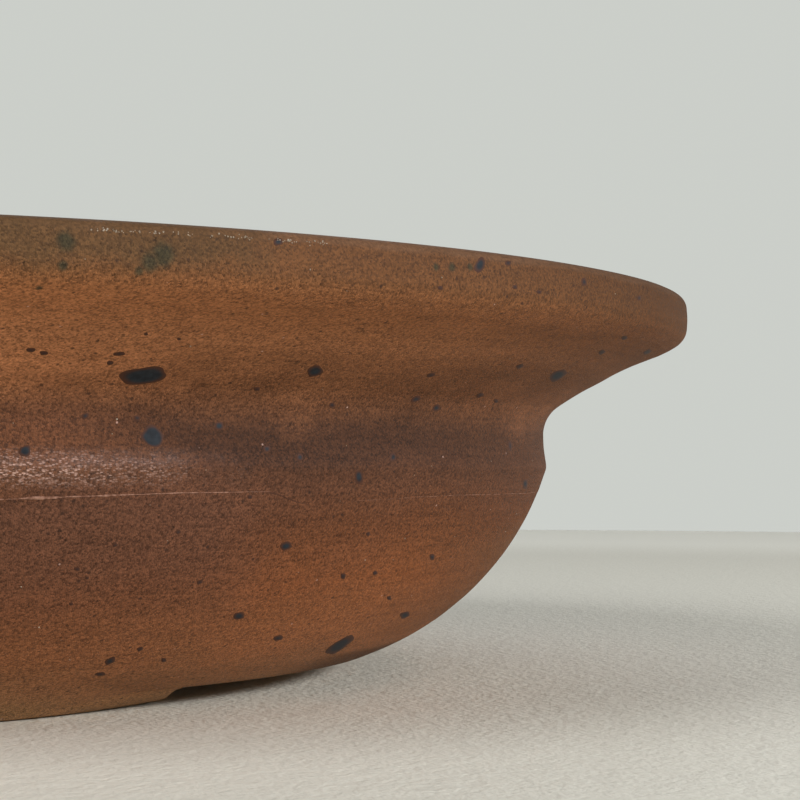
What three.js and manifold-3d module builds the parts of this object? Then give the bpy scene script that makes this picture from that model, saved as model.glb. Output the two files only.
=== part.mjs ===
// Shallow round stoneware flower bowl: a flared rim with a thick lip, a waisted neck over a ridge,
// a round belly, and three low feet with gaps between them through which the bowl drains.
// It is built up as a potter builds it. A floor disc drops into the rebate of a thrown belly, a thrown
// neck is keyed onto the belly's top edge, a lip is keyed onto the edge of the flare, and three foot
// pads are luted under the belly.
// Millimetres, +Z up. The origin is on the table, on the bowl's axis, and the front faces -Y.

import * as THREE from "three";
import { mergeVertices } from "three/addons/utils/BufferGeometryUtils.js";
import Module from "manifold-3d";

const wasm = await Module();
wasm.setup();

// Overall size
const HEIGHT = 48; // table to the top of the lip
const RIM_DIAMETER = 240; // across the outside of the lip
const WALL = 7; // thickness of the neck and of the belly's top edge

// Lip
const LIP_DEPTH = 2.8; // how far it stands out past the edge of the flare
const LIP_RISE = 0.7; // how far it stands up above the flare's upper side
const LIP_UNDER_ROUND = 2.8; // rounding of its lower edge
const LIP_TOP_ROUND = 1.6; // rounding of its upper edge
const LIP_INNER_ROUND = 1; // softened edge at the mouth

// Flare and neck
const FLARE_REACH = 16.1; // neck out to the lip's seat
const FLARE_RISE = 8.25; // neck up to the lip's seat
const FLARE_THICKNESS = 6.5;
const FLARE_CROWN = 0.6; // how far its underside arches above a straight slope
const FLARE_BEND = 12.8; // neck out to the middle of that arch, along the slope
const FLARE_ROUND = 60; // rounding of the arch
const NECK_RISE = 6.75; // ridge up to where the neck meets the flare
const NECK_DRAW = 0.75; // how far the neck draws in above the ridge
const COVE_ROUND = 6.6; // rounding from the neck into the flare, outside
const INNER_COVE_ROUND = 9; // the same rounding, inside the bowl

// Belly
const BELLY_REACH = 23.2; // ridge in to the edge of the belly's underside
const BELLY_BULGE = 3.95; // how far the belly's arc stands out from its chord
const SEAM_DROP = 2.8; // ridge down to the luted seam between belly and neck
const INNER_BULGE = 3; // the same arc inside the bowl
const CORNER_THICKNESS = 11; // the belly's wall where it meets the floor, measured level

// Floor disc and drain hole
const FLOOR_THICKNESS = 7;
const FLOOR_MARGIN = 7; // the belly's own ring of floor, round the disc
const REBATE_WIDTH = 6; // the ledge in the belly that carries the disc's flange
const REBATE_HEIGHT = 3.1; // thickness of that ledge
const DRAIN_DIAMETER = 22;
const DRAIN_ROUND = 1.2; // softened edges of the drain hole

// Feet
const FOOT_HEIGHT = 2.4; // the gap under the body
const FOOT_LENGTH = 82; // end to end, on the table
const FOOT_WIDTH = 18.6; // inner to outer side, in the middle of the foot
const FOOT_CURVE = 49; // rounding of its outer edge on the table, seen from below
const FOOT_SPAN_DEGREES = 73; // angle that its inner side takes about the bowl's axis
const FOOT_END_COVE = 1.4; // hollow where a foot's end runs up into the body
const FOOT_NAMES = ["front_foot", "right_rear_foot", "left_rear_foot"];

// Luted joints
const KEY_WIDTH = 2.6; // tongue at its root
const KEY_DEPTH = 1.4;
const KEY_TAPER = 0.5; // what each side of the tongue draws in by
const LUTE = 0.3; // layer of slip round a tongue and beside the floor disc

// Fineness of the round forms
const TURN_STEPS = 72; // in a full turn
const BELLY_STEPS = 7; // along the belly's arc
const ROUND_STEPS = 3; // in a rounded corner

const CUT_MARGIN = 1; // what a cutting body reaches past the piece that it cuts

const point = (radius, height) => new THREE.Vector2(radius, height);
const midway = (a, b) => a.clone().add(b).divideScalar(2);

// Section of the flare. Its seat for the lip is square across its thickness.
const rimRadius = RIM_DIAMETER / 2;
const flareSlope = point(FLARE_REACH, FLARE_RISE).normalize();
const acrossFlare = point(-flareSlope.y, flareSlope.x);
const seatHeight = HEIGHT - LIP_RISE - FLARE_THICKNESS * acrossFlare.y;
const seatOuter = point(rimRadius - LIP_DEPTH, seatHeight);
const seatInner = seatOuter.clone().addScaledVector(acrossFlare, FLARE_THICKNESS);
const flareFoot = seatOuter.clone().sub(point(FLARE_REACH, FLARE_RISE));
const flareBend = flareFoot
  .clone()
  .addScaledVector(flareSlope, FLARE_BEND)
  .addScaledVector(acrossFlare, FLARE_CROWN);

// Section of the belly: one arc from the underside's edge up to the ridge, and one arc inside.
const ridge = flareFoot.clone().add(point(NECK_DRAW, -NECK_RISE));
const underEdge = point(ridge.x - BELLY_REACH, FOOT_HEIGHT);
const belly = arcOver(underEdge, ridge, BELLY_BULGE);
const seamHeight = ridge.y - SEAM_DROP;
const seamOuter = point(belly.radiusAt(seamHeight), seamHeight);
const seamInner = point(seamOuter.x - WALL, seamHeight);
const floorTop = FOOT_HEIGHT + FLOOR_THICKNESS;
const floorEdge = point(belly.radiusAt(floorTop) - CORNER_THICKNESS, floorTop);
const bellyInside = arcOver(floorEdge, seamInner, INNER_BULGE);

// The floor disc's flange, the plug below it, and the height at which the flange rests
const flangeRadius = floorEdge.x - FLOOR_MARGIN;
const plugRadius = flangeRadius - REBATE_WIDTH;
const ledgeTop = FOOT_HEIGHT + REBATE_HEIGHT;

// Circle arc from a lower to an upper point, bulging outwards by the given height over its chord.
function arcOver(lower, upper, bulge) {
  const chord = upper.clone().sub(lower);
  const radius = (chord.lengthSq() / 4 + bulge * bulge) / (2 * bulge);
  const inwards = point(-chord.y, chord.x).normalize();
  const centre = midway(lower, upper).addScaledVector(inwards, radius - bulge);
  const angleAt = (height) => Math.asin((height - centre.y) / radius);
  return {
    // Radius of the bowl where the arc passes a height
    radiusAt: (height) => centre.x + radius * Math.cos(angleAt(height)),
    // Points along the arc from one height to another
    between(from, to, steps) {
      const [start, end] = [angleAt(from), angleAt(to)];
      const arc = new THREE.EllipseCurve(centre.x, centre.y, radius, radius, start, end, end < start);
      return arc.getPoints(steps);
    },
  };
}

// A joint face from one point to another with a key in its middle. The key stands out to the right of
// the line, or to the left where depth is negative.
function keyed(from, to, width, depth) {
  const along = to.clone().sub(from).normalize();
  const aside = point(along.y, -along.x);
  const middle = midway(from, to);
  const corner = (shift, out) => middle.clone().addScaledVector(along, shift).addScaledVector(aside, out);
  const root = width / 2;
  const tip = root - KEY_TAPER;
  return [from, corner(-root, 0), corner(-tip, depth), corner(tip, depth), corner(root, 0), to];
}

const tongue = (from, to) => keyed(from, to, KEY_WIDTH, KEY_DEPTH);
const groove = (from, to) => keyed(from, to, KEY_WIDTH + 2 * LUTE, -KEY_DEPTH - LUTE);

// A corner of an outline with its rounding
const rounded = (corner, rounding) => Object.assign(corner.clone(), { rounding });

// Closed outline through the corners, in order, with the rounded ones as curves. A rounding takes up at
// most half of the shorter side next to it.
function outline(corners) {
  const path = new THREE.Path();
  corners.forEach((corner, i) => {
    const before = corners.at(i - 1);
    const after = corners[(i + 1) % corners.length];
    const sides = [before.clone().sub(corner), after.clone().sub(corner)];
    const turn = Math.PI - sides[0].angleTo(sides[1]);
    const wanted = (corner.rounding ?? 0) * Math.tan(turn / 2);
    const reach = Math.min(wanted, sides[0].length() / 2, sides[1].length() / 2);
    const [enter, leave] = sides.map((side) => corner.clone().addScaledVector(side.normalize(), reach));
    if (i === 0) path.moveTo(enter.x, enter.y);
    else path.lineTo(enter.x, enter.y);
    if (reach > 0) path.quadraticCurveTo(corner.x, corner.y, leave.x, leave.y);
  });
  path.closePath();
  return path.getPoints(ROUND_STEPS);
}

// Solid of revolution about the bowl's axis. The outline goes up on its outside.
const turned = (corners) => new THREE.LatheGeometry(outline(corners), TURN_STEPS).rotateX(Math.PI / 2);

function solidOf(geometry) {
  const bare = geometry.clone().deleteAttribute("normal").deleteAttribute("uv");
  const merged = mergeVertices(bare);
  return new wasm.Manifold(
    new wasm.Mesh({
      numProp: 3,
      vertProperties: merged.attributes.position.array,
      triVerts: new Uint32Array(merged.index.array),
    }),
  );
}

function geometryOf(solid) {
  const mesh = solid.getMesh();
  const geometry = new THREE.BufferGeometry();
  geometry.setAttribute("position", new THREE.BufferAttribute(mesh.vertProperties, 3));
  geometry.setIndex(new THREE.BufferAttribute(mesh.triVerts, 1));
  geometry.computeVertexNormals();
  return geometry;
}

// Floor disc with the drain hole. Its flange rests on the belly's ledge.
function floorDisc() {
  const hole = DRAIN_DIAMETER / 2;
  return turned([
    rounded(point(hole, FOOT_HEIGHT), DRAIN_ROUND),
    point(plugRadius, FOOT_HEIGHT),
    point(plugRadius, ledgeTop),
    point(flangeRadius, ledgeTop),
    point(flangeRadius, floorTop),
    rounded(point(hole, floorTop), DRAIN_ROUND),
  ]);
}

// Belly ring, from the top of the feet to the seam, with the groove for the neck in its top edge and
// the ledge for the floor disc inside.
function bellyWall() {
  const well = flangeRadius + LUTE;
  const ledge = plugRadius + LUTE;
  return turned([
    point(ledge, FOOT_HEIGHT),
    ...belly.between(FOOT_HEIGHT, seamHeight, BELLY_STEPS),
    ...groove(seamOuter, seamInner).slice(1),
    ...bellyInside.between(seamHeight, floorTop, BELLY_STEPS).slice(1),
    point(well, floorTop),
    point(well, ledgeTop),
    point(ledge, ledgeTop),
  ]);
}

// Neck ring: the ridge, the cove and the flare up to the lip's seat.
function neckWall() {
  const inside = flareFoot.x - WALL;
  const coveHeight = seatInner.y - ((seatInner.x - inside) * FLARE_RISE) / FLARE_REACH;
  return turned([
    ...tongue(seamInner, seamOuter),
    ridge,
    rounded(flareFoot, COVE_ROUND),
    rounded(flareBend, FLARE_ROUND),
    ...groove(seatOuter, seatInner),
    rounded(point(inside, coveHeight), INNER_COVE_ROUND),
    rounded(point(inside, ridge.y), COVE_ROUND),
  ]);
}

// Lip ring: a rounded nose keyed onto the edge of the flare.
function rimLip() {
  const underside = seatOuter.y + (LIP_DEPTH * FLARE_RISE) / FLARE_REACH;
  const mouth = seatInner.x + (LIP_RISE * FLARE_REACH) / FLARE_RISE;
  return turned([
    ...tongue(seatInner, seatOuter),
    rounded(point(rimRadius, underside), LIP_UNDER_ROUND),
    rounded(point(rimRadius, HEIGHT), LIP_TOP_ROUND),
    rounded(point(mouth, HEIGHT), LIP_INNER_ROUND),
  ]);
}

// One foot, at the front. Its outer face leans from a rounded edge on the table out to the edge of the
// belly's underside. Its inner side is round about the bowl's axis, with the ends trimmed towards it.
function footPad() {
  const edgeOn = (radius, height) => {
    const circle = new THREE.EllipseCurve(0, radius - underEdge.x, radius, radius);
    return circle.getPoints(TURN_STEPS).map(({ x, y }) => [x, y, height]);
  };
  const body = wasm.Manifold.hull([...edgeOn(FOOT_CURVE, 0), ...edgeOn(underEdge.x, FOOT_HEIGHT)]);
  const inner = underEdge.x - FOOT_WIDTH;
  const inside = new THREE.CylinderGeometry(inner, inner, 2 * FOOT_HEIGHT + CUT_MARGIN, TURN_STEPS);
  const trimmed = [footFront(), wedge()].map(solidOf).reduce((foot, cut) => foot.intersect(cut), body);
  return geometryOf(trimmed.subtract(solidOf(inside.rotateX(Math.PI / 2))));
}

// Upright wedge from the bowl's axis towards the front, as wide as the span of a foot.
function wedge() {
  const side = ridge.x * Math.tan(THREE.MathUtils.degToRad(FOOT_SPAN_DEGREES / 2));
  const plan = new THREE.Shape([point(0, 0), point(-side, -ridge.x), point(side, -ridge.x)]);
  const options = { depth: FOOT_HEIGHT + 2 * CUT_MARGIN, bevelEnabled: false };
  return new THREE.ExtrudeGeometry(plan, options).translate(0, 0, -CUT_MARGIN);
}

// A foot's front view, drawn back to the bowl's axis. The ends are upright, and hollow out to the sides where
// they run up into the body.
function footFront() {
  const half = FOOT_LENGTH / 2;
  const wide = half + FOOT_END_COVE;
  const hollow = FOOT_HEIGHT - FOOT_END_COVE;
  const front = new THREE.Shape();
  front.moveTo(-half, -CUT_MARGIN);
  front.lineTo(half, -CUT_MARGIN);
  front.lineTo(half, hollow);
  front.quadraticCurveTo(half, FOOT_HEIGHT, wide, FOOT_HEIGHT);
  front.lineTo(wide, FOOT_HEIGHT + CUT_MARGIN);
  front.lineTo(-wide, FOOT_HEIGHT + CUT_MARGIN);
  front.lineTo(-wide, FOOT_HEIGHT);
  front.quadraticCurveTo(-half, FOOT_HEIGHT, -half, hollow);
  const options = { depth: ridge.x, bevelEnabled: false, curveSegments: ROUND_STEPS };
  return new THREE.ExtrudeGeometry(front, options).rotateX(Math.PI / 2);
}

const clay = (color, roughness) => new THREE.MeshStandardMaterial({ color, roughness, metalness: 0 });

function piece(name, geometry, material) {
  const mesh = new THREE.Mesh(geometry, material);
  mesh.name = name;
  return mesh;
}

const bowl = new THREE.Group();
bowl.name = "stoneware_bowl";
bowl.add(
  piece("floor_disc", floorDisc(), clay("#70452f", 0.85)),
  piece("belly_wall", bellyWall(), clay("#79482e", 0.7)),
  piece("neck_wall", neckWall(), clay("#6a4433", 0.6)),
  piece("rim_lip", rimLip(), clay("#7d5639", 0.75)),
);

const footGeometry = footPad();
FOOT_NAMES.forEach((name, i) => {
  const foot = piece(name, footGeometry, clay("#6c4a2d", 0.8));
  foot.rotation.z = (i * 2 * Math.PI) / FOOT_NAMES.length;
  bowl.add(foot);
});

export default bowl;
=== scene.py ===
# %% [markdown]
# A wheel-thrown stoneware bowl, dressed in Blender
#
# The bowl was measured and built as solids elsewhere: a floor disc, a belly, a neck, a lip and three feet.
# This lesson loads those solids as a fixed frame and gives them their looks: fine round walls with the marks
# of the wheel, wiped joints, a speckled sandy clay, iron spots that melted out of it, and worn edges.
# Everything is in metres, in the frame of the solids. The picture shows one side of the bowl from outside,
# so how it was built up, and all that lies out of sight, is partly a guess.

# %% Load the frame
import math
import random

import bmesh
import bpy
import numpy as np
from mathutils import Matrix, Vector, noise
from mathutils.bvhtree import BVHTree


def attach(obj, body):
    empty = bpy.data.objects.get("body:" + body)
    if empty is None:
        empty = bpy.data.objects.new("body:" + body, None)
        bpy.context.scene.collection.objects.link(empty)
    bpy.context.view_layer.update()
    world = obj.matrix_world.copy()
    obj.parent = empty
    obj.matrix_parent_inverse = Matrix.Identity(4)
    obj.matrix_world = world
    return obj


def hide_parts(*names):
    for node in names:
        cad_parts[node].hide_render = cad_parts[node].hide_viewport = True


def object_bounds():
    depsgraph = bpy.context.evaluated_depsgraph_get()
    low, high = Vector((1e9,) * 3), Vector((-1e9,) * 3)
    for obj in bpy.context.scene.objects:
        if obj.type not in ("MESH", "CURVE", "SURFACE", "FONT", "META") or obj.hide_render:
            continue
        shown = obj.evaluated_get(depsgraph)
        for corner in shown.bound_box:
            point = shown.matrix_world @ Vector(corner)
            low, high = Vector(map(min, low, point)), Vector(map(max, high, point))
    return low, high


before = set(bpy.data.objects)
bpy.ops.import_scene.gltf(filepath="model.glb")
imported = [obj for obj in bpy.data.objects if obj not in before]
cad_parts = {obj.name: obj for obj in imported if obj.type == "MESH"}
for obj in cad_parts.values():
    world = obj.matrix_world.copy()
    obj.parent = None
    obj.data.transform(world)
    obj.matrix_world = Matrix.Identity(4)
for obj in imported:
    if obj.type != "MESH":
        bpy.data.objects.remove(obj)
cad_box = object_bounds()
scene = bpy.context.scene
MM = 0.001
WELD = 0.001 * MM
rim_height = cad_box[1].z
rim_radius = cad_box[1].x
print("frame:", ", ".join(sorted(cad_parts)))
print("rim radius", round(rim_radius / MM, 1), "mm, height", round(rim_height / MM, 1), "mm")

# %% [markdown]
# The camera stands close to the bowl, at the height of its ridge, and looks past its right side. Such a
# close view bends the rim strongly, so the camera has to stand just there: the same picture can't be had
# from further off with a longer lens. The place and the focal length were fitted to the bowl's outline.
# The focal length is given in pixels of the 800 pixel wide picture.

# %% Camera
PICTURE = 800
FOCAL_PIXELS = 2190.9
EYE_DISTANCE = 304.4 * MM
EYE_HEIGHT = 26.4 * MM
TURN_RIGHT = math.radians(15.7)
TILT_UP = math.radians(1.78)

camera_data = bpy.data.cameras.new("close_view")
camera_data.lens = FOCAL_PIXELS * camera_data.sensor_width / PICTURE
camera_data.clip_start = 0.01
camera = bpy.data.objects.new("close_view", camera_data)
camera.location = (0, -EYE_DISTANCE, EYE_HEIGHT)
camera.rotation_euler = (math.pi / 2 + TILT_UP, 0, -TURN_RIGHT)
scene.collection.objects.link(camera)
scene.camera = camera
bpy.context.view_layer.update()
print("lens", round(camera_data.lens, 1), "mm")

# %% [markdown]
# Each wall of the bowl is a ring, so its whole shape is in its section. A Screw modifier or a table of
# points could make it, but the solid already holds it: the section is read by cutting the solid with a
# plane.

# %% Cut a section
def cut_through(node):
    """The outline of a round node's wall, as a closed wire on the front half of the plane x = 0."""
    solid = bmesh.new()
    solid.from_mesh(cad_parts[node].data)
    bmesh.ops.remove_doubles(solid, verts=solid.verts, dist=WELD)
    everything = solid.verts[:] + solid.edges[:] + solid.faces[:]
    cut = bmesh.ops.bisect_plane(solid, geom=everything, dist=WELD, plane_co=(0, 0, 0), plane_no=(1, 0, 0))
    edges = [e for e in cut["geom_cut"] if isinstance(e, bmesh.types.BMEdge)]
    front = {e for e in edges if all(v.co.y < 0 for v in e.verts)}
    bmesh.ops.delete(solid, geom=[e for e in solid.edges if e not in front], context="EDGES")
    return solid


def walk(wire):
    """The wire's vertices in order, going up on the outside of the wall."""
    loop = [next(iter(wire.verts))]
    edge = loop[0].link_edges[0]
    while edge.other_vert(loop[-1]) is not loop[0]:
        loop.append(edge.other_vert(loop[-1]))
        edge = next(e for e in loop[-1].link_edges if e is not edge)
    area = sum(b.co.y * a.co.z - a.co.y * b.co.z for a, b in zip(loop, loop[1:] + loop[:1]))
    return loop if area > 0 else loop[::-1]


def with_neighbours(loop):
    """Each item of a closed loop with the one before it and the one after it."""
    return zip(loop[-1:] + loop[:-1], loop, loop[1:] + loop[:1])


belly_cut = cut_through("belly_wall")
print("the belly's cut has", len(belly_cut.verts), "corners")
belly_cut.free()

# %% [markdown]
# The cut has the flats of the solid. A Bezier curve through its corners turns them into one flowing
# line: its automatic handles run smoothly through the gentle corners. The sharp corners, where two
# pieces meet, stay sharp, so that the pieces still fit. The ridge and the edge of the underside lie in
# between: they are worn round a little.

# %% Flowing sections
SHARP_TURN = math.radians(45)
SOFT_TURN = math.radians(18)
LONG_SIDE = 2.6 * MM
WORN = 0.35 * MM
ROUNDNESS = 0.6
SECTION_STEPS = 7
FINEST = 0.15 * MM


def curve_points(loop):
    """Settings of a Bezier curve's points through a cut's corners, and the places of sharp ones."""
    points, sharp = [], []
    for before, vert, after in with_neighbours(loop):
        back, ahead = before.co - vert.co, after.co - vert.co
        turn = math.pi - back.angle(ahead)
        if turn > SHARP_TURN:
            sharp.append(vert.co.copy())
            points.append({"co": vert.co, "handle_left_type": "VECTOR", "handle_right_type": "VECTOR"})
        elif turn > SOFT_TURN and min(back.length, ahead.length) > LONG_SIDE:
            for side, inner, outer in ((back, "right", "left"), (ahead, "left", "right")):
                place = vert.co + side.normalized() * WORN
                inner, outer = "handle_" + inner, "handle_" + outer
                free = {"co": place, inner: place.lerp(vert.co, ROUNDNESS), outer: place + side / 4}
                points.append({**free, inner + "_type": "FREE", outer + "_type": "FREE"})
        else:
            points.append({"co": vert.co, "handle_left_type": "AUTO", "handle_right_type": "AUTO"})
    return points, sharp


def flowing_section(node):
    """A node's section as a fine wire, and the places of its sharp corners."""
    wire = cut_through(node)
    points, sharp = curve_points(walk(wire))
    curve = bpy.data.curves.new("section", "CURVE")
    curve.dimensions = "3D"
    spline = curve.splines.new("BEZIER")
    spline.bezier_points.add(len(points) - 1)
    spline.use_cyclic_u = True
    spline.resolution_u = SECTION_STEPS
    for point, settings in zip(spline.bezier_points, points):
        for name, value in settings.items():
            setattr(point, name, value)
    wire.free()
    holder = bpy.data.objects.new("section", curve)
    fine = bmesh.new()
    fine.from_mesh(holder.to_mesh())
    bpy.data.objects.remove(holder)
    bpy.data.curves.remove(curve)
    free = [v for v in fine.verts if min((v.co - c).length for c in sharp) > FINEST]
    bmesh.ops.remove_doubles(fine, verts=free, dist=FINEST)
    return fine, sharp


# %% [markdown]
# The marks of the wheel are small: outside, the potter's rib left ridges a few hundredths of a
# millimetre high, and inside, fingertips left wider and deeper rings. They are smooth noise along the
# section, so no two are alike, and they fade out at the sharp corners. The fire then shrank the bowl a
# little and pulled it out of round.

# %% Marks of the wheel and the fire
RIB_MARK = (0.03 * MM, 2.6 * MM)  # height and length of a mark
FINGER_MARK = (0.22 * MM, 6 * MM)
MARK_FADE = 2 * MM
SHRINKAGE = 0.15 * MM
OUT_OF_ROUND = 0.03 * MM


def wheel_marks(wire, sharp, seed):
    """Moves the points of a section along its normal, a little outside and more inside."""
    moves = []
    for before, vert, after in with_neighbours(walk(wire)):
        along = (after.co - before.co).normalized()
        out = Vector((0, -along.z, along.y))
        inside = out.z > 0.2 and out.y > -0.1 or out.y > 0.4
        height, length = FINGER_MARK if inside else RIB_MARK
        fade = min(min((vert.co - c).length for c in sharp) / MARK_FADE, 1)
        wave = noise.noise(Vector((seed, vert.co.y / length, vert.co.z / length)))
        moves.append((vert, out * (height * fade * wave)))
    for vert, move in moves:
        vert.co += move


def fired(bm):
    """Draws the bowl in by a hair, nothing at the feet and most at the rim, and a little out of round."""
    for vert in bm.verts:
        turn = math.atan2(vert.co.x, -vert.co.y)
        oval = SHRINKAGE + OUT_OF_ROUND * (2 + math.cos(2 * turn + 2.4) + math.cos(3 * turn + 1.0))
        height = vert.co.z / rim_height
        inwards = Vector((-math.sin(turn), math.cos(turn), 0))
        vert.co += (inwards * oval - Vector((0, 0, SHRINKAGE))) * height


print("finger marks up to", round(FINGER_MARK[0] / MM, 2), "mm, shrinkage", round(SHRINKAGE / MM, 2), "mm")

# %% [markdown]
# With its marks in place, a section is spun once round the bowl's axis, and the ring stands for its
# solid. The clay's material is still empty here. It is filled in further down, once all places on the
# bowl are known.

# %% Thrown rings
TURN_STEPS = 360
SHARP_EDGE = math.radians(40)
clay = bpy.data.materials.new("speckled_stoneware")
surfaces = {}


def shown(name, bm, material, node=None):
    """Makes a mesh a piece of the bowl. It may stand for a solid, and belong to a material slot."""
    bmesh.ops.recalc_face_normals(bm, faces=bm.faces)
    for face in bm.faces:
        face.smooth = True
    for edge in bm.edges:
        edge.smooth = edge.calc_face_angle(0) < SHARP_EDGE
    mesh = bpy.data.meshes.new(name)
    bm.to_mesh(mesh)
    mesh.materials.append(material)
    piece = bpy.data.objects.new(name, mesh)
    scene.collection.objects.link(piece)
    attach(piece, "root")
    if node:
        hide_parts(node)
    print(name, len(bm.faces), "faces")


def thrown_ring(name, node, seed):
    """A ring of clay that stands for a round solid, spun from its section."""
    wire, sharp = flowing_section(node)
    wheel_marks(wire, sharp, seed)
    print(node, len(wire.verts), "points in the section,", len(sharp), "sharp corners")
    turn = {"cent": (0, 0, 0), "axis": (0, 0, 1), "angle": 2 * math.pi, "steps": TURN_STEPS}
    bmesh.ops.spin(wire, geom=wire.verts[:] + wire.edges[:], use_merge=True, **turn)
    fired(wire)
    shown(name, wire, clay, node)
    surfaces[name] = BVHTree.FromBMesh(wire)
    wire.free()


thrown_ring("thrown_belly", "belly_wall", 11.3)
thrown_ring("thrown_neck", "neck_wall", 27.9)
thrown_ring("rolled_lip", "rim_lip", 5.1)
thrown_ring("floor_with_drain", "floor_disc", 41.7)

# %% [markdown]
# A foot is a low pad. Its outer side is a round edge on the floor that leans out to the belly's
# underside, its ends hollow out where they run up into the body, and its inner side is round about the
# bowl's axis. The arcs and lengths are read from the front foot's solid, so that a point of the foot can
# be had from shares of its length, depth and height.

# %% Shape of a foot
foot_corners = [v.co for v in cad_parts["front_foot"].data.vertices]
foot_top = max(c.z for c in foot_corners)
foot_inner = min(c.xy.length for c in foot_corners)
inner_side = [c for c in foot_corners if c.xy.length < foot_inner + FINEST]
foot_half_angle = max(math.atan2(c.x, -c.y) for c in inner_side)
foot_levels = sorted({round(c.z / WELD) for c in foot_corners})
foot_halves = [max(c.x for c in foot_corners if round(c.z / WELD) == level) for level in foot_levels]


def outer_arc(level):
    """Radius of the foot's outer side at a level of its solid, and how far back its middle lies."""
    corners = [c for c in foot_corners if round(c.z / WELD) == level]
    front = min(corners, key=lambda c: c.y)
    half = max(c.x for c in corners)
    end = min((c for c in corners if c.x > half - FINEST), key=lambda c: c.y)
    depth = end.y - front.y
    radius = (half * half + depth * depth) / (2 * depth)
    return radius, front.y + radius


low_arc = outer_arc(foot_levels[0])
top_arc = outer_arc(foot_levels[-1])
print("foot:", round(2 * foot_halves[0] / MM, 1), "mm long,", round(foot_top / MM, 1), "mm high")


def foot_point(across, inwards, up):
    """A point of the front foot, from shares of its length, depth and height."""
    half = np.interp(up * foot_top / WELD, foot_levels, foot_halves)
    radius = low_arc[0] + (top_arc[0] - low_arc[0]) * up
    middle = low_arc[1] + (top_arc[1] - low_arc[1]) * up
    x = across * half
    outer = Vector((x, middle - math.sqrt(radius * radius - x * x), up * foot_top))
    angle = across * foot_half_angle
    inner = Vector((foot_inner * math.sin(angle), -foot_inner * math.cos(angle), up * foot_top))
    return outer.lerp(inner, inwards)


# %% [markdown]
# To make the pad, a grid is laid over the outer side and extruded to a block, and each point of the
# block goes to its place. Only the edge on the floor is worn round: the lower a row of points lies
# there, the further it is drawn in. A bevel could round the edge too, but it is wider than the rows are
# high.

# %% Feet
FOOT_COLUMNS = 96
FOOT_ROWS = 10
FOOT_CUTS = 6
FOOT_EDGE = 0.9 * MM
foot_depth = (foot_point(0, 0, 0) - foot_point(0, 1, 0)).length
FOOT_TURNS = {"front": 0, "right_rear": math.radians(120), "left_rear": math.radians(240)}


def block(columns, rows, cuts):
    """A block of quads: x from -1 to 1, y from 0 to 1, z from 0 to 1."""
    bm = bmesh.new()
    upright = Matrix.Diagonal((1, 1, 0.5, 1)) @ Matrix.Rotation(math.pi / 2, 4, "X")
    upright = Matrix.Translation((0, 0, 0.5)) @ upright
    bmesh.ops.create_grid(bm, x_segments=columns, y_segments=rows, size=1, matrix=upright)
    made = bmesh.ops.extrude_face_region(bm, geom=bm.faces[:])
    far_side = [v for v in made["geom"] if isinstance(v, bmesh.types.BMVert)]
    bmesh.ops.translate(bm, verts=far_side, vec=(0, 1, 0))
    if cuts:
        deep = [e for e in bm.edges if abs(e.verts[0].co.y - e.verts[1].co.y) > 0.5]
        bmesh.ops.subdivide_edges(bm, edges=deep, cuts=cuts, use_grid_fill=True)
    return bm


def worn_in(height):
    """How far the round edge lies inside the foot's sides at a height."""
    return FOOT_EDGE - math.sqrt(FOOT_EDGE**2 - max(FOOT_EDGE - height, 0) ** 2)


def foot_pad(side):
    """One foot, with a round edge on the floor."""
    bm = block(FOOT_COLUMNS, FOOT_ROWS, FOOT_CUTS)
    for vert in bm.verts:
        across, inwards, up = vert.co
        inset = worn_in(up * foot_top)
        share = inset / foot_depth
        vert.co = foot_point(across * (1 - inset / foot_halves[0]), share + inwards * (1 - 2 * share), up)
    turn = Matrix.Rotation(FOOT_TURNS[side], 3, "Z")
    bmesh.ops.rotate(bm, verts=bm.verts, cent=(0, 0, 0), matrix=turn)
    fired(bm)
    shown(side + "_foot_pad", bm, clay, side + "_foot")
    surfaces[side + "_foot_pad"] = BVHTree.FromBMesh(bm)
    bm.free()


for side in FOOT_TURNS:
    foot_pad(side)

# %% [markdown]
# The potter wiped soft clay over the corner between a foot and the belly, so that no joint shows from
# the front. In a section that fill is a wedge. Its face runs straight from the foot's lower edge and
# touches the belly's arc, so it is thickest in the middle of the foot and dies out towards the ends. The
# two hidden sides lie in the clay.

# %% Wiped foot joints
WIPE_COLUMNS = 72
WIPE_ROWS = 6
WIPE_LOW = 0.12
WIPE_SUNK = 0.03 * MM
WIPE_FADE = 1.2 * MM
WIPE_ROOT = 0.8 * MM
WIPE_LEAST = 0.5 * MM
belly_wire, _ = flowing_section("belly_wall")
under_radius = top_arc[0] - top_arc[1]
belly_arc = [v.co.copy() for v in belly_wire.verts if -v.co.y > under_radius]
belly_wire.free()


def wipe_section(across):
    """Lower edge, upper edge and hidden root of the wiped clay, at a share of the foot's length."""
    low = foot_point(across, 0, WIPE_LOW)
    out = Vector((low.x, low.y, 0)).normalized()
    touch = min(belly_arc, key=lambda p: math.atan2(p.z - low.z, -p.y - low.xy.length))
    sunk = WIPE_SUNK + WIPE_FADE * abs(across) ** 8
    upper = out * (-touch.y - sunk) + Vector((0, 0, touch.z))
    root = out * (under_radius - WIPE_ROOT) + Vector((0, 0, foot_top + WIPE_ROOT))
    return low - out * sunk, upper, root


shares = [i / WIPE_COLUMNS for i in range(WIPE_COLUMNS)]
wipe_end = max(s for s in shares if wipe_section(s)[1].xy.length > under_radius + WIPE_LEAST)
wipe_top = wipe_section(0)[1].z
print("wiped clay over", round(100 * wipe_end), "% of the foot, up to", round(wipe_top / MM, 1), "mm")


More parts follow.
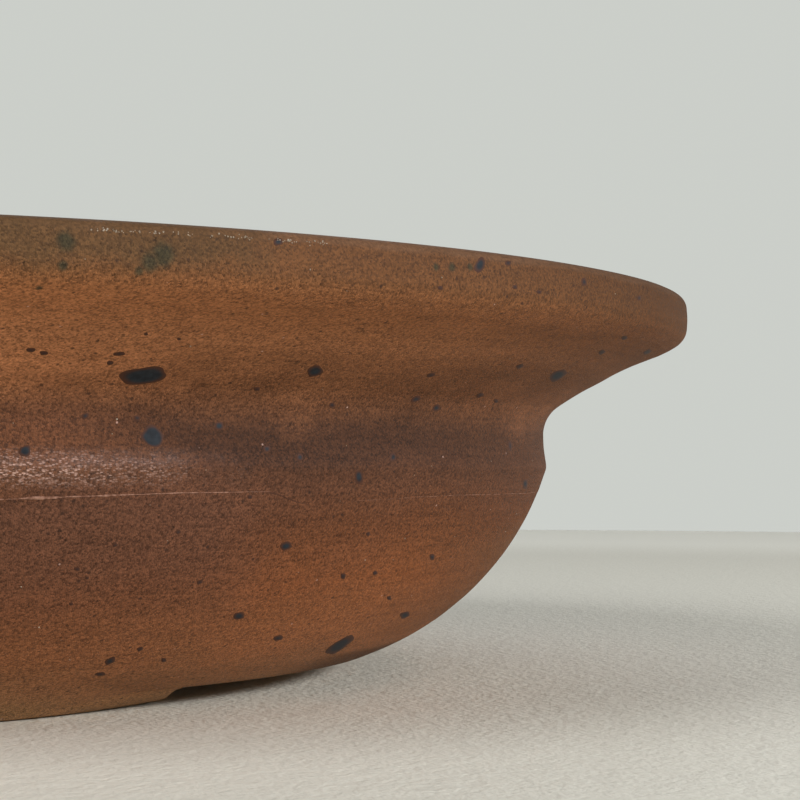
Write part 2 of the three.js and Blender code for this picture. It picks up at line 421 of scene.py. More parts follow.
def foot_wipe(side):
    """The clay wiped over the front of one foot's joint."""
    bm = block(WIPE_COLUMNS, WIPE_ROWS, 0)
    for vert in bm.verts:
        low, upper, root = wipe_section(vert.co.x * wipe_end)
        vert.co = low.lerp(upper, vert.co.z).lerp(root, vert.co.y)
    bmesh.ops.remove_doubles(bm, verts=bm.verts, dist=WELD)
    turn = Matrix.Rotation(FOOT_TURNS[side], 3, "Z")
    bmesh.ops.rotate(bm, verts=bm.verts, cent=(0, 0, 0), matrix=turn)
    fired(bm)
    shown(side + "_foot_wipe", bm, clay)
    surfaces[side + "_foot_wipe"] = BVHTree.FromBMesh(bm)
    bm.free()


for side in FOOT_TURNS:
    foot_wipe(side)

# %% [markdown]
# Things that lie on the surface are placed by casting rays at it. A ray of the camera through a pixel
# finds the place that the pixel shows, so a spot that was seen in the picture lands where it belongs. A
# level ray towards the bowl's axis, or one straight down, finds places on the sides that the picture
# doesn't show.

# %% Rays
RAY_CLEAR = 2 * MM


def hit(origin, direction):
    """The nearest place on the bowl along a ray, and the surface's direction there."""
    found = [s.ray_cast(origin, direction) for s in surfaces.values()]
    found = [f for f in found if f[0] is not None]
    if not found:
        return None
    place, normal, _, _ = min(found, key=lambda f: f[3])
    return place, normal if normal.dot(direction) < 0 else -normal


def seen_at(x, y):
    """The place on the bowl that a pixel of the picture shows."""
    middle = PICTURE / 2
    ray = Vector(((x - middle) / FOCAL_PIXELS, (middle - y) / FOCAL_PIXELS, -1))
    return hit(camera.location, (camera.matrix_world.to_3x3() @ ray).normalized())


def beside(turn, height):
    """The place on the outside of the bowl at an angle from the front and a height."""
    out = Vector((math.sin(turn), -math.cos(turn), 0))
    return hit(out * 2 * rim_radius + Vector((0, 0, height)), -out)


def below(x, y):
    """The place on the inside of the bowl under a point."""
    return hit(Vector((x, y, 2 * rim_height)), Vector((0, 0, -1)))


def patch(place, normal):
    """A function that gives the surface beside a place, by steps to the side and upwards."""
    level = Vector((1, 0, 0))
    if abs(normal.z) < 0.999:
        level = Vector((0, 0, 1)).cross(normal).normalized()
    steep = normal.cross(level)
    start = place + normal * RAY_CLEAR
    return lambda x, y: hit(start + level * x + steep * y, -normal) or (place, normal)


print("the picture's middle shows", [round(c / MM, 1) for c in seen_at(PICTURE / 2, PICTURE / 2)[0]])

# %% [markdown]
# Iron spots melted out of the clay in the fire. Each one is a thin lens of blue-black slag that lies on
# the wall and stains the clay at its rim, so a small spot looks softer than a large one. The ones that
# the picture shows are listed by pixel, with their width, height and slope. The others are strewn over
# the rest of the bowl, many small ones and a few large. A small ball is made once and stamped into the
# mesh for each spot, because a bmesh operator slows down as its mesh grows. How deep each of its points
# lies inside the outline is kept as an attribute for the finish.

# %% Spots of the picture
SEEN_SPOTS = (
    (143, 376, 46, 16, 6), (152, 437, 19, 23, 60), (25, 451, 12, 11, 0), (315, 371, 15, 10, 20),
    (340, 645, 34, 9, 33), (558, 375, 18, 8, 28), (286, 546, 11, 8, 20), (359, 477, 8, 14, 5),
    (219, 426, 9, 8, 0), (480, 265, 9, 16, -20), (278, 242, 9, 7, 0), (584, 282, 5, 8, 10),
    (239, 616, 11, 7, 10), (278, 638, 10, 5, 15), (110, 661, 11, 6, 25), (100, 674, 9, 4, 5),
    (140, 649, 6, 4, 20), (405, 615, 10, 6, 20), (416, 399, 10, 5, 20), (436, 408, 8, 6, 40),
    (332, 405, 6, 5, 0), (431, 375, 8, 4, 10), (393, 457, 6, 8, 0), (300, 457, 6, 7, 0),
    (267, 449, 7, 6, 0), (510, 446, 4, 10, 5), (525, 484, 5, 10, -5), (119, 354, 12, 4, 5),
    (110, 363, 6, 4, 0), (31, 350, 9, 4, 0), (44, 353, 8, 4, 0), (85, 416, 7, 6, 20),
    (137, 418, 6, 5, 0), (250, 497, 5, 4, 0), (77, 569, 6, 4, 0), (178, 532, 5, 4, 30),
    (115, 545, 5, 4, 10), (164, 660, 5, 4, 0), (200, 582, 6, 4, 20), (71, 604, 4, 3, 0),
    (87, 578, 4, 3, 0), (375, 573, 5, 4, 30), (343, 576, 5, 6, 0), (432, 557, 5, 6, 10),
    (389, 598, 4, 4, 0), (368, 534, 4, 4, 0), (508, 263, 6, 5, 0), (515, 287, 5, 4, 0),
    (539, 292, 5, 4, 0), (440, 288, 5, 4, 0), (639, 298, 4, 5, 0), (624, 338, 6, 4, 20),
    (602, 352, 7, 4, 25), (647, 352, 8, 4, 20), (520, 366, 8, 4, 20), (480, 395, 8, 4, 15),
    (496, 401, 5, 4, 0), (146, 334, 4, 3, 0), (179, 339, 4, 3, 0), (257, 389, 6, 4, 0),
)
print("spots in the picture:", len(SEEN_SPOTS))


# %% Stamps
def stamp_of(name, create, **settings):
    """A small mesh of a bmesh shape, to be stamped many times."""
    bm = bmesh.new()
    create(bm, **settings)
    mesh = bpy.data.meshes.new(name)
    bm.to_mesh(mesh)
    bm.free()
    return mesh


def stamp(bm, mesh):
    """Adds a copy of a small mesh and gives its vertices."""
    start = len(bm.verts)
    bm.from_mesh(mesh)
    bm.verts.ensure_lookup_table()
    return bm.verts[start:]


lens = stamp_of("lens", bmesh.ops.create_uvsphere, u_segments=12, v_segments=4, radius=1)
fine_lens = stamp_of("fine_lens", bmesh.ops.create_uvsphere, u_segments=28, v_segments=8, radius=1)
print("faces of a strewn spot:", len(lens.polygons), "and of one in the picture:", len(fine_lens.polygons))

# %% Iron spots
SPOT_PROUD = 0.03 * MM
STREWN_OUTSIDE = 240
STREWN_INSIDE = 170
UNSEEN_FROM = math.radians(76)
UNSEEN_TO = math.radians(368)
STREWN_HEIGHTS = (0.08, 0.97)
STREWN_AREA = (0.02, 0.96)
LEAST_SPOT = 0.3
LARGEST_SPOT = 4.0
SEED_STEP = 1.7


def spot(bm, ball, surface_at, width, height, slope, unit, seed):
    """A thin uneven lens. surface_at gives the surface beside its middle, unit makes sizes millimetres."""
    depth = bm.verts.layers.float["depth"]
    for vert in stamp(bm, ball):
        vert[depth] = (1 - vert.co.xy.length) * min(width, height) / 2 * unit
        blunt = (2 * vert.co.x * vert.co.y) ** 2
        uneven = 1 + 0.12 * blunt + 0.28 * noise.noise(Vector((vert.co.x, vert.co.y, seed)))
        flat = Matrix.Rotation(slope, 2) @ Vector((vert.co.x * width, vert.co.y * height)) * (uneven / 2)
        place, normal = surface_at(flat.x, flat.y)
        vert.co = place + normal * (vert.co.z * SPOT_PROUD)


def iron_spots(material):
    """All spots as one piece: those of the picture first, then the strewn ones."""
    rng = random.Random(7)
    bm = bmesh.new()
    bm.verts.layers.float.new("depth")
    for i, (x, y, width, height, slope) in enumerate(SEEN_SPOTS):
        middle = seen_at(x, y)
        pixel = (middle[0] - camera.location).length / FOCAL_PIXELS / MM

        def seen_beside(u, v):
            return seen_at(x + u, y - v) or middle

        spot(bm, fine_lens, seen_beside, width, height, math.radians(slope), pixel, SEED_STEP * i)
    middles = []
    for _ in range(STREWN_OUTSIDE):
        turn = rng.uniform(UNSEEN_FROM, UNSEEN_TO)
        middles.append(beside(turn, rng.uniform(*STREWN_HEIGHTS) * rim_height))
    for _ in range(STREWN_INSIDE):
        away = rim_radius * math.sqrt(rng.uniform(*STREWN_AREA))
        turn = rng.uniform(0, 2 * math.pi)
        middles.append(below(away * math.sin(turn), away * math.cos(turn)))
    for i, (place, normal) in enumerate(middles):
        width = min(LEAST_SPOT / rng.uniform(0.06, 1.0) ** 0.8, LARGEST_SPOT) * MM
        height = width * rng.uniform(0.4, 0.9)
        slope = rng.gauss(0, 0.4)
        spot(bm, lens, patch(place, normal), width, height, slope, 1 / MM, 100 + SEED_STEP * i)
    shown("iron_spots", bm, material)
    bm.free()


slag = bpy.data.materials.new("iron_slag")
iron_spots(slag)

# %% [markdown]
# Coarse pale sand in the clay shows as tiny white grains. They are strewn thinly over the whole bowl.
# Along the lip's upper edge, where the clay is worn, they lie bare in rows.

# %% Pale grains
SEEN_GRAINS = ((340, 501), (112, 434), (13, 423), (85, 259), (365, 560), (61, 640), (206, 470), (150, 505))
WORN_EDGE = ((100, 229.5), (127, 231), (180, 234), (251, 238), (317, 243))
EDGE_CLUSTERS = (104, 112, 128, 158, 183, 222, 246, 286, 300, 318)
CLUSTER_SPREAD = 7
EDGE_GRAINS = 90
STREWN_GRAINS = 200
GRAIN_SIZE = (0.04 * MM, 0.1 * MM)
ROW_SPREAD = 1.2
EDGE_SPREAD = 0.2 * MM
grain = stamp_of("grain", bmesh.ops.create_icosphere, subdivisions=1, radius=1)


def pale_grains(material):
    """All bare grains as one piece."""
    rng = random.Random(21)
    places = [seen_at(x, y)[0] for x, y in SEEN_GRAINS]
    columns, rows = zip(*WORN_EDGE)
    for _ in range(EDGE_GRAINS):
        x = rng.gauss(rng.choice(EDGE_CLUSTERS), CLUSTER_SPREAD)
        places.append(seen_at(x, np.interp(x, columns, rows) + rng.gauss(0, ROW_SPREAD))[0])
    worn_height = seen_at(*WORN_EDGE[1])[0].z
    for _ in range(2 * EDGE_GRAINS):
        turn = rng.uniform(UNSEEN_FROM, UNSEEN_TO)
        places.append(beside(turn, worn_height + rng.gauss(0, EDGE_SPREAD))[0])
    for _ in range(STREWN_GRAINS):
        turn = rng.uniform(0, 2 * math.pi)
        places.append(beside(turn, rng.uniform(*STREWN_HEIGHTS) * rim_height)[0])
    bm = bmesh.new()
    for place in places:
        size = rng.uniform(*GRAIN_SIZE)
        for vert in stamp(bm, grain):
            uneven = 1 + 0.5 * noise.noise(vert.co * 2 + place / MM)
            vert.co = place + vert.co * (size * uneven)
    shown("pale_grains", bm, material)
    bm.free()


sand = bpy.data.materials.new("pale_sand")
pale_grains(sand)

# %% [markdown]
# The neck was luted to the belly with slip, and a thin burr of it stands all round on the seam. It runs
# once round like a thread that starts a little lower than it ends, with a short crack where the two ends
# pass each other. A curve with a round bevel makes such a thread, and the radius of each of its points
# makes it thin and thick. The same thread closes the joint round the floor disc, inside and underneath,
# and the fine line below the lip.

# %% Threads of slip
THREAD_STEP = 0.4


def thread(name, places, sizes, material, closed=False):
    """A thread of slip through places on the bowl."""
    curve = bpy.data.curves.new(name, "CURVE")
    curve.dimensions = "3D"
    curve.bevel_depth = MM
    curve.bevel_resolution = 1
    curve.use_fill_caps = not closed
    spline = curve.splines.new("POLY")
    spline.points.add(len(places) - 1)
    spline.use_cyclic_u = closed
    for point, place, size in zip(spline.points, places, sizes):
        point.co = (*place, 1)
        point.radius = size
    holder = bpy.data.objects.new(name, curve)
    bm = bmesh.new()
    bm.from_mesh(holder.to_mesh())
    bpy.data.objects.remove(holder)
    bpy.data.curves.remove(curve)
    bmesh.ops.remove_doubles(bm, verts=bm.verts, dist=WELD)
    shown(name, bm, material)
    bm.free()


# %% Burr and crack of the seam
# Turns are in degrees from the front to the right, heights and sizes in millimetres.
SEAM_TURNS = (34.5, 40, 46, 61.5, 90, 140, 190, 240, 290, 330, 371, 381, 388)
SEAM_HEIGHTS = (22.95, 23.2, 23.38, 23.3, 23.5, 23.7, 23.9, 23.7, 23.4, 23.4, 23.5, 23.98, 24.05)
SEAM_SIZES = (0.01, 0.015, 0.02, 0.025, 0.05, 0.05, 0.06, 0.05, 0.06, 0.09, 0.16, 0.07, 0.02)
SEAM_WANDER = 0.05
CRACK_PIXELS = ((268, 492), (275, 493.5), (282, 496), (290, 499.5), (297, 502), (304, 504))
CRACK_SIZES = (0.02, 0.04, 0.045, 0.045, 0.04, 0.02)


def broken(turn, seed):
    """A factor that changes along a thread, from a tenth to about twice."""
    slow, fast = (noise.noise(Vector((turn * rate, seed, rate))) for rate in (1.3, 4.1))
    return max(0.1, 0.65 + 1.1 * slow + 1.1 * fast)


def seam_burr(material):
    """The burr of slip on the seam between belly and neck."""
    turns = np.arange(SEAM_TURNS[0], SEAM_TURNS[-1], THREAD_STEP)
    heights = np.interp(turns, SEAM_TURNS, SEAM_HEIGHTS)
    wander = [SEAM_WANDER * noise.noise(Vector((t * 0.9, 3, 0))) for t in turns]
    places = [beside(math.radians(t), (h + w) * MM)[0] for t, h, w in zip(turns, heights, wander)]
    sizes = [s * broken(t, 0) for t, s in zip(turns, np.interp(turns, SEAM_TURNS, SEAM_SIZES))]
    thread("seam_burr", places, sizes, material)


slip = bpy.data.materials.new("dry_slip")
seam_burr(slip)
thread("seam_crack", [seen_at(*p)[0] for p in CRACK_PIXELS], CRACK_SIZES, slag)

# %% Slip in the other joints
LIP_LINE_SIZE = 0.035
SLIP_SIZE = 0.3
SLIP_WIDTH = 0.3 * MM
SLIP_SUNK = 0.15 * MM


def joint_line(name, radius, height, size, material):
    """A closed thread round the bowl's axis, at a joint."""
    turns = np.radians(np.arange(0, 360, THREAD_STEP))
    places = [Vector((radius * math.sin(t), -radius * math.cos(t), height)) for t in turns]
    sizes = [size * broken(math.sin(t) * 60, 5) for t in turns]
    thread(name, places, sizes, material, closed=True)


def rings_at(node, lowest):
    """Largest radius of a node's lowest or highest corners, and their height."""
    corners = [v.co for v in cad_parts[node].data.vertices]
    height = (min if lowest else max)(c.z for c in corners)
    return max(c.xy.length for c in corners if abs(c.z - height) < FINEST), height


lip_seat = rings_at("rim_lip", lowest=True)
floor_edge = rings_at("floor_disc", lowest=False)
plug_edge = rings_at("floor_disc", lowest=True)
joint_line("lip_line", *lip_seat, LIP_LINE_SIZE, clay)
joint_line("floor_slip", floor_edge[0] + SLIP_WIDTH / 2, floor_edge[1] - SLIP_SUNK, SLIP_SIZE, clay)
joint_line("plug_slip", plug_edge[0] + SLIP_WIDTH / 2, plug_edge[1] + SLIP_SUNK, SLIP_SIZE, clay)

# %% [markdown]
# Shader maths reads best as plain expressions. This small class wraps the output of a node: adding or
# multiplying two of them adds a Math node to the tree, and its add method makes any other node.

# %% Shader expressions
class Wire:
    """The output of a shader node. Python's operators on it add Math nodes."""

    def __init__(self, tree, socket=None):
        self.tree = tree
        self.socket = socket

    def add(self, kind, settings=None, inputs=None, output=0):
        """A new node of a kind, with its settings, and with values or wires on its inputs."""
        node = self.tree.nodes.new(kind)
        for name, value in (settings or {}).items():
            if name == "stops":
                self.fill_ramp(node.color_ramp, value)
            else:
                setattr(node, name, value)
        for name, value in (inputs or {}).items():
            self.put(node.inputs[name], value)
        return Wire(self.tree, node.outputs[output])

    def fill_ramp(self, ramp, stops):
        """Gives a colour ramp its stops, pairs of a position and a colour."""
        while len(ramp.elements) < len(stops):
            ramp.elements.new(1.0)
        for element, (position, tone) in zip(ramp.elements, stops):
            element.position = position
            element.color = tone

    def put(self, socket, value):
        if isinstance(value, Wire):
            self.tree.links.new(value.socket, socket)
        else:
            socket.default_value = value

    def math(self, operation, *values):
        return self.add("ShaderNodeMath", {"operation": operation}, dict(enumerate(values)))

    def __add__(self, other):
        return self.math("ADD", self, other)

    def __sub__(self, other):
        return self.math("SUBTRACT", self, other)

    def __rsub__(self, other):
        return self.math("SUBTRACT", other, self)

    def __mul__(self, other):
        return self.math("MULTIPLY", self, other)

    def __truediv__(self, other):
        return self.math("DIVIDE", self, other)

    def __gt__(self, other):
        return self.math("GREATER_THAN", self, other)

    __radd__ = __add__
    __rmul__ = __mul__

    def either(self, other):
        """The larger of two wires."""
        return self.math("MAXIMUM", self, other)

    def ramp(self, low, high):
        """0 at low and 1 at high, with a smooth change between them."""
        settings = {"interpolation_type": "SMOOTHSTEP"}
        return self.add("ShaderNodeMapRange", settings, {"Value": self, "From Min": low, "From Max": high})

    def blend(self, first, second):
        """The first colour where this wire is 0, and the second where it is 1."""
        return self.add("ShaderNodeMix", {"data_type": "RGBA"}, {0: self, 6: first, 7: second}, output=2)

    def tint(self, factor):
        """This colour times a number."""
        return self.add("ShaderNodeVectorMath", {"operation": "SCALE"}, {0: self, "Scale": factor})

    def stretch(self, x, y, z):
        """This vector with each axis times a number."""
        return self.add("ShaderNodeVectorMath", {"operation": "MULTIPLY"}, {0: self, 1: (x, y, z)})

    def length(self):
        return self.add("ShaderNodeVectorMath", {"operation": "LENGTH"}, {0: self}, "Value")

    def axis(self, name):
        return self.add("ShaderNodeSeparateXYZ", None, {0: self}, name)

    def red(self):
        return self.add("ShaderNodeSeparateColor", None, {0: self})

    def cloud(self, size, detail=2.0, shift=0.0):
        """Soft noise with spots of about that size, in the unit of this vector, from 0 to 1."""
        inputs = {"Vector": self, "W": shift, "Scale": 1 / size, "Detail": detail}
        return self.add("ShaderNodeTexNoise", {"noise_dimensions": "4D"}, inputs)

    def cells(self, size, output):
        """Random cells of about that size: the distance to a cell's middle, or its random colour."""
        return self.add("ShaderNodeTexVoronoi", None, {"Vector": self, "Scale": 1 / size}, output)

    def near(self, place, reach):
        """1 at a place and 0 beyond the reach."""
        away = self.add("ShaderNodeVectorMath", {"operation": "DISTANCE"}, {0: self, 1: place}, "Value")
        return away.ramp(reach, 0)


# %% Colours and places
def colour(code):
    """A linear colour from a hex code."""
    parts = [int(code[i : i + 2], 16) / 255 for i in (0, 2, 4)]
    return tuple(p / 12.92 if p <= 0.04045 else ((p + 0.055) / 1.055) ** 2.4 for p in parts) + (1.0,)


def shading(material):
    """A material's shader node, and a wire for the place on the object in millimetres."""
    material.use_nodes = True
    shader = material.node_tree.nodes["Principled BSDF"]
    place = Wire(material.node_tree).add("ShaderNodeTexCoord", output="Object")
    return shader, place.stretch(1 / MM, 1 / MM, 1 / MM)


print("a middle grey is", round(colour("808080")[0], 3), "in linear light")

# %% [markdown]
# The clay is a coarse, iron-rich stoneware, fired without glaze. The fire coloured it in soft bands: tan
# at the feet, orange on the belly, purple-brown in the neck, orange again under the flare, and darker on
# the lip. One side of the belly stayed browner, and the lip has an olive bloom of ash with dark smudges
# there. Towards the right the flare and the lip get darker and the neck paler, the belly's flank turns
# greyer, and the cove under the flare is lighter at the front: these tints are partly the clay's own tone
# and partly painted light, shade and sheen. A darker band along the belly's lower edge on the right is
# painted shade for the dark line of shade under that edge. The colours are worked out from the place on
# the bowl, so they run on over the joints between the pieces. A colour ramp over the height holds the
# bands, and soft noise lets them waver, least at the lip.

# %% Colour bands of the clay
BANDS = (
    (1, "8D6845"), (3.5, "8B6040"), (7, "8D5B3A"), (14, "814D2C"), (20.5, "633C24"), (24.5, "5B3A27"),
    (27.5, "4A3021"), (30, "462D1E"), (33.5, "644029"), (38.5, "956240"), (41.7, "935F3C"),
    (43.6, "6D472A"), (46.8, "674429"), (47.3, "705038"),
)
BROWN_SIDE = colour("61402F")
NECK_SIDE = colour("65402A")
# Partly the clay's tone, partly painted sheen on the belly's right flank.
FLANK_AND_PAINTED_SHEEN = colour("66452D")
# Painted shade: the colour of the darker band along the belly's lower edge on the right.
PAINTED_SHADE_EDGE = colour("2E1F17")
OLIVE = colour("594129")
SMUDGE = colour("3A3626")
SMUDGE_PIXELS = (
    (163, 255, 2.2), (150, 262, 1.8), (66, 241, 1.7), (63, 266, 0.9), (139, 271, 0.9), (39, 288, 0.7),
    (436, 267, 0.8), (452, 267, 0.9), (470, 267, 0.8),
)


def fire_colours(mm):
    """The clay's colour before its grain, and masks for the lip and for the lip's smooth top.

    Heights and radii are in millimetres. right goes from 0 at the front to 1 at the right side.
    """
    z = mm.axis("Z")
    radius = mm.stretch(1, 1, 0).length()
    right = mm.axis("X") / radius
    broad = mm.cloud(22, 3.0) - 0.5
    patchy = mm.cloud(5, 3.0, shift=3.0) - 0.5
    height = z + (broad * 6 + patchy * 3) * (1 - z.ramp(32, 42) * 0.8)
    stops = [(level * MM / rim_height, colour(code)) for level, code in BANDS]
    body = mm.add("ShaderNodeValToRGB", {"stops": stops}, {0: height * (MM / rim_height)})
    brown = height.ramp(3.5, 17) * height.ramp(28, 22) * (right + broad * 0.6).ramp(0.64, 0.28)
    body = (brown * 0.8).blend(body, BROWN_SIDE)
    # The belly's right flank turns greyer: partly the clay's tone, partly painted sheen.
    flank_and_painted_sheen = height.ramp(5, 9) * height.ramp(22, 17) * right.ramp(0.65, 0.95)
    body = (flank_and_painted_sheen * 0.75).blend(body, FLANK_AND_PAINTED_SHEEN)
    neck = height.ramp(23, 27) * height.ramp(34, 30)
    body = (neck * (right + broad * 0.4).ramp(0.36, 0.22)).blend(body, NECK_SIDE)
    # Lighter cove and flare at the front, darker flare and lip and a paler neck to the right: partly the
    # clay's tone, partly painted light and shade.
    cove_tone_and_painted_light = height.ramp(31, 34) * height.ramp(39, 35) * right.ramp(0.45, 0.15)
    waist_tone_and_painted_light = height.ramp(24, 28) * height.ramp(38, 34) * right.ramp(0.65, 0.95)
    side_tone_and_painted_light = 0.2 - right.ramp(0.1, 0.5) * 0.32 - right.ramp(0.5, 0.85) * 0.3
    body = body.tint(1 + side_tone_and_painted_light * z.ramp(33, 37) + cove_tone_and_painted_light * 0.85 + waist_tone_and_painted_light * 0.3)
    # Painted shade: a darker band along the belly's lower edge on the right, where shade falls under it.
    painted_shade_lower_edge = z.ramp(5.4, 4.2) * radius.ramp(76.5, 78) * right.ramp(0.65, 0.8)
    body = (painted_shade_lower_edge * 0.6).blend(body, PAINTED_SHADE_EDGE)
    bloom = (z + patchy * 4 + broad * 2).ramp(42.5, 45.5) * radius.ramp(108, 116)
    ash = bloom * (right + broad * 0.6 + patchy * 0.3).ramp(0.42, 0.26) * (0.85 + patchy)
    body = ash.blend(body, OLIVE)
    smudges = bloom * (mm.cloud(6, 2.0, shift=8.0) * 1.2 - 0.75)
    for column, row, reach in SMUDGE_PIXELS:
        smudges = smudges.either(mm.near(seen_at(column, row)[0] / MM, reach))
    smudges = (smudges + (mm.cloud(0.7, 3.0, shift=6.0) - 0.5) * 0.5).ramp(0.2, 0.9)
    body = (smudges * 0.85).blend(body, SMUDGE)
    top = (z + patchy * 0.6).ramp(46.7, 47.1) * radius.ramp(108, 112)
    return body.tint(1 + patchy * 0.3 + broad * 0.15), bloom, top


# %% [markdown]
# Up close the clay is sandy: each grain of about a fifth of a millimetre has its own tone and stands out
# a little. Fine lines run round it from the wheel. Small iron specks and pale grains are strewn through
# it. Along the ridge on the left a coat adds gloss, and pale flecks in the colour are painted glints. A
# picture could be wrapped round the bowl, but noise worked out from the place has no seam and stays sharp.

# %% Grain of the clay
DARK_SPECK = colour("33241D")
# Also the colour of the painted glints along the ridge.
PALE_GRAIN_AND_PAINTED_GLINT = colour("C8A290")
GRAIN = 0.19
PAINTED_GLINT_SIZE = 0.14
GRAIN_HEIGHT = 0.06 * MM


def stoneware():
    """The clay's finish: its colours, grain, specks, painted glints and relief."""
    shader, mm = shading(clay)
    body, lip, top = fire_colours(mm)
    z = mm.axis("Z")
    grain_tone = mm.cells(GRAIN, "Color").red() - 0.5
    coarse_tone = mm.cloud(0.32, 2.0, shift=9.0) - 0.5
    lines = mm.stretch(0.05, 0.05, 1).cloud(0.4, 3.0, shift=7.0) - 0.5
    rough_part = 1 - lip * 0.15 - top * 0.3
    body = body.tint(1 + (grain_tone * 0.85 + coarse_tone * 1.1 + lines * 0.5) * rough_part)
    specks = mm.cells(1.1, "Distance").ramp(0.24, 0.1) * (mm.cells(1.1, "Color").red() > 0.78)
    body = (specks * 0.7).blend(body, DARK_SPECK)
    other = mm.stretch(1, 1, 1.01)
    pale = other.cells(1.7, "Distance").ramp(0.09, 0.04) * (other.cells(1.7, "Color").red() > 0.85)
    radius = mm.stretch(1, 1, 0).length()
    right = mm.axis("X") / radius
    # Painted highlights: pale glints in the colour along the ridge on the left, where a coat also adds
    # gloss.
    gloss_and_painted_glint_side = (right + (mm.cloud(4, 2.0, shift=2.0) - 0.5) * 0.3).ramp(0.43, 0.16)
    outside = radius.ramp(97, 99)
    patches = mm.cloud(0.7, 2.0, shift=1.0).ramp(0.2, 0.5)
    gloss_and_painted_glint_band = z.ramp(24, 26) * z.ramp(28.8, 26.2) * gloss_and_painted_glint_side * outside * patches
    painted_glint_space = mm.stretch(0.45, 0.45, 1)
    painted_glint_brightness = painted_glint_space.cells(PAINTED_GLINT_SIZE, "Color").red().ramp(0.35, 0.95)
    painted_glints = gloss_and_painted_glint_band * painted_glint_brightness * painted_glint_space.cells(PAINTED_GLINT_SIZE, "Distance").ramp(0.9, 0.2)
    body = (pale * 0.6).either(painted_glints).blend(body, PALE_GRAIN_AND_PAINTED_GLINT)

    grains = mm.cells(GRAIN, "Distance").ramp(0.75, 0.05)
    relief = (grains * 0.6 + coarse_tone * 1.2) * rough_part + lines * 0.6
    bump = mm.add("ShaderNodeBump", None, {"Distance": GRAIN_HEIGHT, "Height": relief}, "Normal")
    mm.put(shader.inputs["Base Color"], body)
    mm.put(shader.inputs["Roughness"], 0.7 + grain_tone * 0.2)
    mm.put(shader.inputs["Coat Weight"], gloss_and_painted_glint_band * 0.5)
    mm.put(shader.inputs["Normal"], bump)
    shader.inputs["Specular IOR Level"].default_value = 0.1
    shader.inputs["Coat Roughness"].default_value = 0.4


stoneware()
print("clay:", len(clay.node_tree.nodes), "nodes")

# %% [markdown]
# The slag of the iron spots is nearly black, with a dull gloss, and brown where it soaks into the clay
# at the rim of a spot. The burr of slip is the same clay without its sand, so it fired paler. The coarse
# sand is off-white quartz.

# %% Slag, slip and sand
SPOT_STAIN = colour("4A2F22")
STAIN_WIDTH = (0.02, 0.28)


def dull(material, dark, light, size, roughness, gloss, stain=None):
    """A finish that wavers between two colours in spots of a size in mm, perhaps with a stained rim."""
    shader, mm = shading(material)
    waver = mm.cloud(size, 3.0)
    body = waver.ramp(0.3, 0.7).blend(colour(dark), colour(light))
    if stain:
        depth = mm.add("ShaderNodeAttribute", {"attribute_name": "depth"}, output="Fac")
        body = (depth + (mm.cloud(0.15) - 0.5) * 0.15).ramp(*STAIN_WIDTH).blend(stain, body)
    mm.put(shader.inputs["Base Color"], body)
    mm.put(shader.inputs["Roughness"], roughness + waver * 0.2)
    shader.inputs["Specular IOR Level"].default_value = gloss


dull(slag, "1F2225", "2B3034", 0.6, 0.5, 0.1, SPOT_STAIN)
dull(slip, "6E4835", "A67E68", 0.35, 0.6, 0.2)
dull(sand, "7C6752", "AC9D88", 0.3, 0.5, 0.3)

# %% [markdown]
# The stage is a pale floor, a round plate that ends behind the bowl. Towards its far edge the floor gets
# paler, and that is painted light. The surroundings are pale near the horizon and dark overhead, so that
# most light comes from the sides and finds its way under the wide rim. A small light stands low at the
# right, so that the gap beside the foot is dark and crisp. A large one at the left makes the rim's soft
# shadow on the floor, a low one in front lights the belly, and a weak one behind lights the far floor.

# %% Floor
FLOOR = colour("E9E5D2")
# Painted light: the colour of the floor's paler far edge.
FLOOR_PAINTED_LIGHT = colour("FFFCEA")
FLOOR_RADIUS = 0.66
PAINTED_LIGHT_RADII = (380, 520)
FLOOR_RELIEF = 0.25 * MM


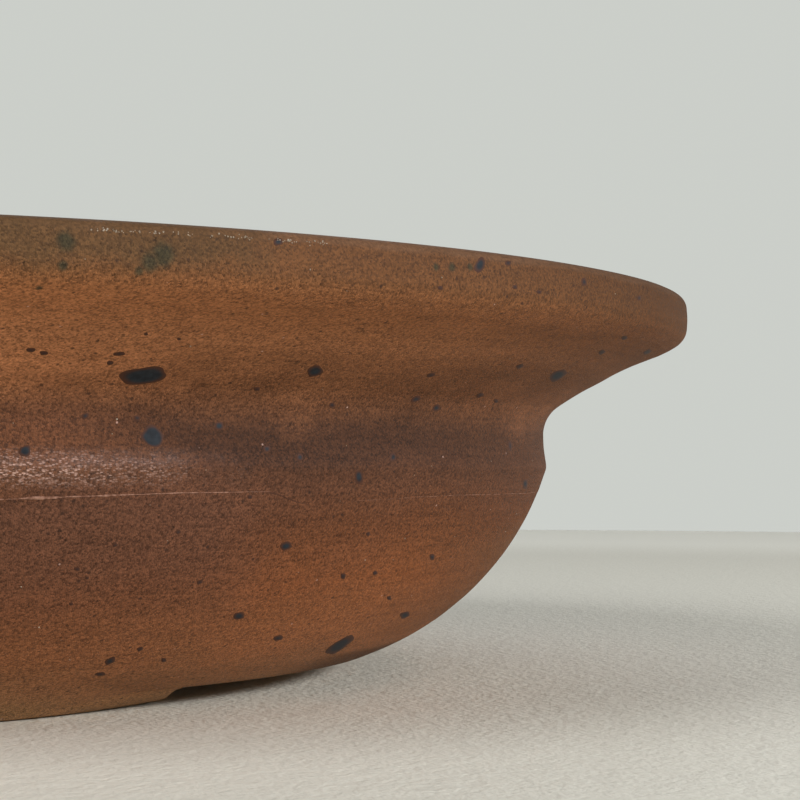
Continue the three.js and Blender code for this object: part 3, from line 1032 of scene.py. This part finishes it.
def floor_plate():
    """The pale floor, as a piece of the stage."""
    material = bpy.data.materials.new("pale_floor")
    shader, mm = shading(material)
    # Painted light: the floor gets paler towards its far edge.
    edge = mm.stretch(1, 1, 0).length().ramp(*PAINTED_LIGHT_RADII)
    relief = mm.cloud(0.8, 3.0) * 0.8 + mm.cloud(2.5, 3.0, shift=2.0) + mm.cloud(12, 2.0, shift=4.0) * 0.5
    bump = mm.add("ShaderNodeBump", None, {"Distance": FLOOR_RELIEF, "Height": relief}, "Normal")
    mm.put(shader.inputs["Base Color"], edge.blend(FLOOR, FLOOR_PAINTED_LIGHT))
    mm.put(shader.inputs["Normal"], bump)
    shader.inputs["Roughness"].default_value = 0.6
    shader.inputs["Specular IOR Level"].default_value = 0.2
    bm = bmesh.new()
    bmesh.ops.create_circle(bm, cap_ends=True, segments=256, radius=FLOOR_RADIUS)
    mesh = bpy.data.meshes.new("floor_plate")
    bm.to_mesh(mesh)
    bm.free()
    mesh.materials.append(material)
    plate = bpy.data.objects.new("floor_plate", mesh)
    scene.collection.objects.link(plate)


floor_plate()
print("floor plate", FLOOR_RADIUS, "m in radius")

# %% Surroundings
SURROUNDINGS = (0.60, 0.62, 0.585, 1.0)
OVERHEAD = 0.05
OVERHEAD_FROM = (0.25, 0.5)


def pale_surroundings():
    """Surroundings that are pale at the sides and dark overhead."""
    world = bpy.data.worlds.new("pale_surroundings")
    world.use_nodes = True
    background = world.node_tree.nodes["Background"]
    up = Wire(world.node_tree).add("ShaderNodeTexCoord", output="Generated").axis("Z")
    up.put(background.inputs["Strength"], 1 - up.ramp(*OVERHEAD_FROM) * (1 - OVERHEAD))
    background.inputs["Color"].default_value = SURROUNDINGS
    scene.world = world


pale_surroundings()
print("surroundings:", scene.world.name)

# %% Lights
LIGHT_DISTANCE = 1.2
LIGHT_TINT = (0.98, 1.0, 1.09)
LIGHTS = {
    "left_light": {"azimuth": -60, "elevation": 38, "power": 7.0, "size": 0.7},
    "front_light": {"azimuth": -24, "elevation": 8, "power": 2.0, "size": 0.7},
    "right_light": {"azimuth": 56, "elevation": 19.5, "power": 11.0, "size": 0.22},
    "back_light": {"azimuth": 165, "elevation": 40, "power": 1.8, "size": 0.7},
}


def soft_light(name, azimuth, elevation, power, size):
    """A round area light that looks at the bowl. Its azimuth goes from the front to the right."""
    data = bpy.data.lights.new(name, "AREA")
    data.shape = "DISK"
    data.size = size
    data.energy = power
    data.color = LIGHT_TINT
    light = bpy.data.objects.new(name, data)
    turn, lift = math.radians(azimuth), math.radians(elevation)
    level = math.cos(lift)
    towards = Vector((math.sin(turn) * level, -math.cos(turn) * level, math.sin(lift)))
    light.location = towards * LIGHT_DISTANCE
    light.rotation_euler = (-towards).to_track_quat("-Z", "Y").to_euler()
    light.visible_camera = False
    scene.collection.objects.link(light)


for name, settings in LIGHTS.items():
    soft_light(name, **settings)
scene.view_settings.view_transform = "Standard"
print("lights:", ", ".join(LIGHTS))
